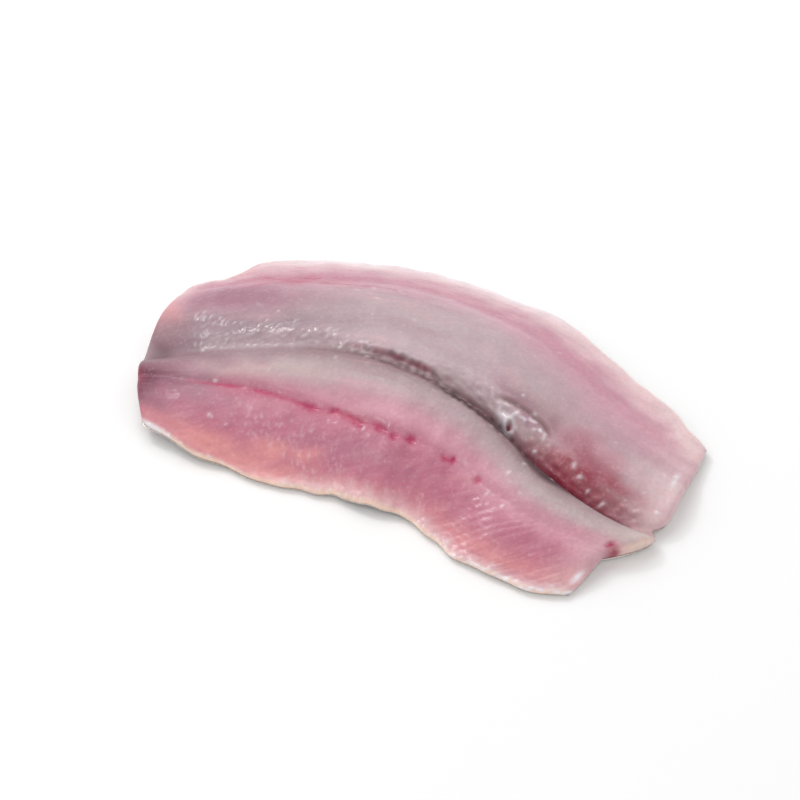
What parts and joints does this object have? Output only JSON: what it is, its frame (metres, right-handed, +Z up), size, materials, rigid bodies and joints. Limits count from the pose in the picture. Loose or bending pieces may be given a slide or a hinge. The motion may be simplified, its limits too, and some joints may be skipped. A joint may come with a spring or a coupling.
{
  "type": "sardine fillet",
  "caption": "Raw butterflied sardine fillet lying skin side down, its lobes joined along the back groove and arched like a low roof, for a plate, board or pan.",
  "frame": {"origin": "centre of the bounding box at the board the fillet lies on", "axes": "+X towards the head end, +Y towards the far lobe, +Z up from the board"},
  "size_m": [0.1114, 0.0894, 0.0136],
  "materials": {
    "flesh": "wet raw fish flesh, mauve-pink and grey",
    "skin": "wet silver fish skin on the underside, which the solid carries as part of its one node"
  },
  "bodies": {
    "root": {"fillet": "flesh"}
  },
  "joints": []
}
